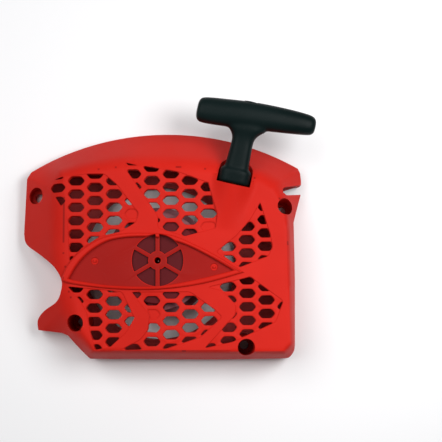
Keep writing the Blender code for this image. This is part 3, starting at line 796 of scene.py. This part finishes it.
turned_piece(
    "bearing_sleeve", ZINC, "housing", "spindle_sleeve", "spindle_sleeve", CRANK, 0.2,
    [(5.9, 14.9), (6.55, 14.9), (6.55, 35.4), (5.9, 35.4)],
)
turned_piece(
    "pressed_lid", ZINC, "housing", "spring_case_lid", "spring_case_lid", CRANK, 0.15,
    [
        (9.2, 31.6), (12.0, 31.6), (12.6, 31.9), (22.0, 31.9), (22.6, 31.6), (26.6, 31.6),
        (26.6, 32.3), (22.9, 32.3), (22.3, 32.5), (12.3, 32.5), (11.7, 32.3), (9.2, 32.3),
    ],
)
turned_piece(
    "thrust_washer", ZINC, "housing", "reel_washer", "reel_washer", CRANK, 0.25,
    [(2.3, 13.1), (10.0, 13.1), (10.0, 14.2), (2.3, 14.2)],
)
turned_piece(
    "flanged_eyelet", BRASS, "housing", "rope_eyelet", "rope_eyelet", ALONG_PULL, 0.3,
    [(2.3, -4.2), (3.9, -4.2), (3.9, 0.3), (5.4, 0.3), (5.4, 1.0), (2.9, 1.0), (2.3, 0.2)],
)
turned_piece(
    "knot_seat", ZINC, "handle", "handle_insert", "handle_insert", ALONG_PULL, 0.3,
    [(2.3, 41.3), (4.9, 41.3), (4.9, 42.9), (2.3, 42.9)],
)
turned_piece(
    "end_plug", GRIP, "handle", "handle_grip", "handle_cap", ALONG_PULL, 0.2,
    [(0, 50.2), (4.7, 50.2), (5.0, 52.4), (5.0, 54.3), (4.4, 54.9), (3.0, 55.1), (0, 55.2)],
)


# Works under the cover.

SPRING_CASE_R, REEL_R = 28.5, 36.5
KNOT_AT = (-24.5, 0.0)


def ribs_round(count, start_r, end_r, width):
    """Outlines of straight ribs that run outwards from the axis."""
    found = []
    for i in range(count):
        spin = Matrix.Rotation(math.radians(360 * i / count), 2)
        corners = [(start_r, -width / 2), (end_r, -width / 2), (end_r, width / 2), (start_r, width / 2)]
        found.append([tuple(spin @ Vector(corner)) for corner in corners])
    return found


def case_ear(at, low, top):
    """A round ear on the spring case for a screw, with a web that widens to the case."""
    middle = Vector(at)
    around = CRANK @ Matrix.Translation((*at, 0))
    ear = turned("ear", [(0, low), (4.2, low), (4.2, top - 0.2), (4.0, top), (0, top)], 36, around)
    root = middle.normalized() * (SPRING_CASE_R - 1.1)
    side = Vector((-middle.y, middle.x)).normalized()
    web = [root - side * 6, middle - side * 4, middle + side * 4, root + side * 6]
    return combine(ear, prisms("web", [[tuple(p) for p in web]], low, top), "UNION")


def spring_case():
    outer, inner = SPRING_CASE_R, SPRING_CASE_R - 1.5
    profile = [(6.1, 35.9), (inner, 35.9), (inner, 31.6), (outer, 31.6), (outer, 36.4)]
    profile += [(outer - 0.8, 37.2), (6.1, 37.2)]
    case = turned("spring_drum", profile, 96)
    for at in CASE_SCREWS:
        around = CRANK @ Matrix.Translation((*at, 0))
        combine(case, case_ear(at, 33.4, 35.2), "UNION")
        combine(case, turned("screw hole", [(0, 30), (1.2, 30), (1.2, 40), (0, 40)], 20, around))
    combine(case, prisms("spring's room", [circle((0, 0), inner - 0.05, 96)], 30, 35.85))
    only(case)
    bpy.ops.object.shade_smooth_by_angle(angle=math.radians(35))
    DRUM.put_on(case)
    stand_in(case, "housing", "spring_case")


def rope_reel():
    """The grooved reel, its flange relieved by pockets but for the stretch that holds the rope's knot."""
    profile = [
        (6.85, 14.8), (11.0, 14.8), (11.0, 26.0), (19.5, 26.0), (19.5, 17.5), (REEL_R, 17.5), (REEL_R, 20.0),
        (22.0, 20.0), (22.0, 29.5), (32.5, 29.5), (32.5, 31.2), (8.6, 31.2), (8.6, 35.5), (6.85, 35.5),
    ]
    reel = turned("grooved_reel", eased(profile, 0.5), 96)
    pockets = []
    for mid in range(15, 360, 30):
        if abs(mid - 180) > 20:
            outer, inner = arc((0, 0), 34.4, mid - 12, mid + 12, 6), arc((0, 0), 22.4, mid + 11, mid - 11, 6)
            pockets.append(rounded(outer + inner, 0.8))
    combine(reel, prisms("pockets", pockets, 10, 18.7))
    combine(reel, prisms("knot pocket", [circle(KNOT_AT, 4.6, 32)], 10, 24.8))
    only(reel)
    bpy.ops.object.shade_smooth_by_angle(angle=math.radians(35))
    PLUM.put_on(reel)
    stand_in(reel, "reel", "rope_reel")


def drive_cup():
    """The cup that the flywheel's pawls catch, with six teeth inside and three lugs that turn the reel."""
    cup = turned("ratchet_cup", eased([(11.4, 9.0), (19.2, 9.0), (19.2, 17.2), (11.4, 17.2)], 0.5), 96)
    teeth = []
    for at in range(0, 360, 60):
        teeth += arc((0, 0), 16.6, at, at + 40, 12) + arc((0, 0), 13.6, at + 54, at + 60, 2)
    combine(cup, prisms("teeth", [teeth], 5, 15.2))
    lugs = [
        arc((0, 0), 18.8, mid - 10, mid + 10, 6) + arc((0, 0), 14.0, mid + 10, mid - 10, 6)
        for mid in (0, 120, 240)
    ]
    combine(cup, prisms("lugs", lugs, 16.5, 21.5), "UNION")
    only(cup)
    bpy.ops.object.shade_smooth_by_angle(angle=math.radians(30))
    SINTERED.put_on(cup)
    stand_in(cup, "reel", "drive_cup")


def air_baffle():
    """The flat ring plate, with a rolled lip round its opening and radial stiffening ribs."""
    plate = prisms("shaped_baffle", [inset(RIM, WALL + 0.6)], 5, 6.4)
    lip = turned("lip", eased([(52.0, 5.0), (54.0, 5.0), (54.0, 7.0), (52.0, 7.0)], 0.4), 128)
    combine(plate, prisms("opening", [circle((0, 0), 52.9, 128)], 0, 20))
    combine(plate, lip, "UNION")
    ribs = prisms("ribs", ribs_round(24, 53.4, 80, 1.4), 5.4, 7.0)
    combine(ribs, prisms("rim", [inset(RIM, WALL + 3.5)], 0, 20), "INTERSECT")
    combine(plate, ribs, "UNION")
    combine(plate, prisms("boss gaps", [circle(at, 8.0, 48) for at in MOUNT_HOLES], 0, 20))
    combine(plate, prisms("screw holes", [circle(at, 1.6, 24) for at in BAFFLE_SCREWS], 0, 20))
    combine(plate, prisms("slot gap", [SLOT], 0, 20))
    only(plate)
    bpy.ops.object.shade_smooth_by_angle(angle=math.radians(30))
    MAROON.put_on(plate)
    stand_in(plate, "housing", "air_baffle")


def oblong(a, b):
    return [(-a, -b), (a, -b), (a, b), (-a, b)]


def screw(name, at, head_low, head_top, tip, head_r, shank_r):
    """A pan-head screw that points up, with a cross recess and a thread."""
    place = CRANK @ Matrix.Translation((*at, 0))
    tall = head_top - head_low
    profile = [(0, head_low), (0.55 * head_r, head_low), (0.88 * head_r, head_low + 0.2 * tall)]
    profile += [(head_r, head_low + 0.55 * tall), (head_r, head_top), (shank_r, head_top)]
    pitch = 0.45 * shank_r + 0.25
    z = head_top + 0.4
    while z < tip - shank_r - pitch:
        profile += [(0.78 * shank_r, z), (shank_r, z + 0.4 * pitch), (0.78 * shank_r, z + 0.8 * pitch)]
        z += pitch
    profile += [(0.7 * shank_r, tip - shank_r), (0, tip)]
    piece = turned("threaded_" + name, profile, 28, place)
    arm, half = 0.6 * head_r, 0.13 * head_r
    for a, b in ((arm, half), (half, arm)):
        rings = [level(oblong(a, b), head_low - 1), level(oblong(0.6 * a, 0.6 * b), head_low + 0.55 * tall)]
        combine(piece, stacks("cross", [rings], place))
    only(piece)
    bpy.ops.object.shade_smooth_by_angle(angle=math.radians(40))
    ZINC.put_on(piece)
    stand_in(piece, "housing", "screws", name)


spring_case()
rope_reel()
drive_cup()
air_baffle()
for i, at in enumerate(BAFFLE_SCREWS):
    screw(f"baffle_screw_{i + 1}", at, 3.0, 4.7, 17.0, 3.0, 1.1)
for i, at in enumerate(CASE_SCREWS):
    screw(f"case_screw_{i + 1}", at, 31.5, 33.1, 37.9, 2.6, 0.8)
screw("reel_screw", (0, 0), 9.8, 12.8, 30.0, 4.4, 1.85)


# The rope.

# The winding's outer radius, its lowest height, half its rise, and the step in to its inner layer.
OUTER_TURN_R, LOWEST_TURN_Z, HALF_RISE, LAYER_STEP = 29.25, 23.0, 1.7, 4.4
# The turns on the reel, and those that one pass up and down its groove takes.
TURNS, TURNS_A_PASS = 4.5, 4.4
MOUTH = CRANK.inverted() @ PULL @ Vector((0, -4.5, 0))


def tube(name, points, radius, place=CRANK, cyclic=False):
    """A round length of rope along points, with closed ends."""
    curve = bpy.data.curves.new(name, "CURVE")
    curve.dimensions = "3D"
    curve.bevel_depth = radius
    curve.bevel_resolution = 3
    curve.use_fill_caps = not cyclic
    spline = curve.splines.new("POLY")
    spline.points.add(len(points) - 1)
    for knot, point in zip(spline.points, points):
        knot.co = (*point, 1)
    spline.use_cyclic_u = cyclic
    obj = bpy.data.objects.new(name, curve)
    bpy.context.scene.collection.objects.link(obj)
    only(obj)
    bpy.ops.object.convert(target="MESH")
    settle(bpy.context.object, place)
    bpy.ops.object.shade_smooth_by_angle(angle=math.radians(50))
    ROPE.put_on(bpy.context.object)
    return bpy.context.object


def tangent_turn():
    """The angle at which the rope leaves its outer turn for the mouth of the eyelet."""
    return math.atan2(MOUTH.y, MOUTH.x) - math.acos(OUTER_TURN_R / math.hypot(MOUTH.x, MOUTH.y))


def rope_winding():
    """Four and a half turns in two layers, ending where the straight run leaves."""
    end, steps = tangent_turn(), 40
    points = []
    for i in range(int(TURNS * steps) + 1):
        left = TURNS - i / steps
        layer = min(max((left - TURNS / 2) / 0.5 + 0.5, 0), 1)
        radius = OUTER_TURN_R - LAYER_STEP * layer
        swing = math.sin(math.tau * (left + 0.25) / TURNS_A_PASS) if left > 0.4 else 0
        z = LOWEST_TURN_Z + HALF_RISE - HALF_RISE * math.cos(math.tau * left / TURNS_A_PASS) + 0.2 * swing
        angle = end - math.tau * left
        points.append((radius * math.cos(angle), radius * math.sin(angle), z))
    stand_in(tube("wound_rope", points, ROPE_R), "reel", "rope", "rope_winding")


def rope_run():
    """The straight rope from the winding to the eyelet."""
    end = tangent_turn()
    start = Vector((OUTER_TURN_R * math.cos(end), OUTER_TURN_R * math.sin(end), LOWEST_TURN_Z))
    points = [start.lerp(MOUTH, share) for share in (0.05, 0.2, 0.4, 0.6, 0.8, 1)]
    points += [CRANK.inverted() @ PULL @ Vector((0, y, 0)) for y in (-2.0, 0.9)]
    stand_in(tube("rope_to_eyelet", points, ROPE_R), "housing", "rope", "rope_run")


def pull_rope():
    """The rope between the eyelet and the handle."""
    points = [(0, 1.5 + 41.3 * i / 80, 0) for i in range(81)]
    rope = tube("pull_rope", points, ROPE_R, PULL)
    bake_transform(rope)
    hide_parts("rope_tail")


def knot(name, middle, size, body, replaced, place):
    """An overhand knot pulled tight."""
    points = []
    for i in range(60):
        t = math.tau * i / 60
        x, y = math.sin(t) + 2 * math.sin(2 * t), math.cos(t) - 2 * math.cos(2 * t)
        points.append((0.29 * size * x, 0.29 * size * y, middle - 0.42 * size * math.sin(3 * t)))
    stand_in(tube(name, points, 0.36 * size, place, cyclic=True), body, "rope", replaced)


rope_winding()
rope_run()
pull_rope()
knot("reel_stop_knot", 16.4, 3.3, "reel", "reel_knot", CRANK @ Matrix.Translation((*KNOT_AT, 0)))
knot("handle_stop_knot", 46.5, 3.3, "handle", "handle_knot", ALONG_PULL)


# Camera, floor and light.


def add_camera():
    data = bpy.data.cameras.new("camera")
    data.lens = 70.05
    data.sensor_width = 36
    camera = bpy.data.objects.new("camera", data)
    bpy.context.scene.collection.objects.link(camera)
    lean, nod, roll = -0.0192, 0.0937, -0.0076
    turn = Matrix.Rotation(lean, 4, "Y") @ Matrix.Rotation(nod, 4, "X") @ Matrix.Rotation(roll, 4, "Z")
    camera.matrix_world = Matrix.Translation(CRANK @ Vector((30.8, -27.2, 600))) @ turn
    bpy.context.scene.camera = camera


def add_floor():
    bpy.ops.mesh.primitive_plane_add(size=6, location=(0, 0, -0.0002))
    floor = bpy.context.object
    floor.name = "floor"
    paper = Shader("pale_paper", Roughness=0.9)
    paper.feed(Base_Color=paper.mix(paper.noise(3, 3), (0.76, 0.76, 0.77), (0.80, 0.80, 0.81)))
    paper.put_on(floor)


def add_light(name, at, aim, size, power):
    data = bpy.data.lights.new(name, "AREA")
    data.shape = "DISK"
    data.size = size
    data.energy = power
    light = bpy.data.objects.new(name, data)
    bpy.context.scene.collection.objects.link(light)
    light.location = at
    light.rotation_euler = (Vector(aim) - Vector(at)).to_track_quat("-Z", "Y").to_euler()


def add_sky(strength):
    world = bpy.data.worlds.new("sky")
    bpy.context.scene.world = world
    world.use_nodes = True
    background = world.node_tree.nodes["Background"]
    background.inputs["Color"].default_value = (1, 1, 1, 1)
    background.inputs["Strength"].default_value = strength


bpy.context.scene.view_settings.view_transform = "Standard"
add_camera()
add_floor()
add_sky(0.22)
add_light("key", (0.25, 0.07, 0.42), (0, 0, 0.03), 0.25, 1.9)
add_light("fill", (-0.45, 0.25, 0.9), (0, 0, 0), 0.8, 7)
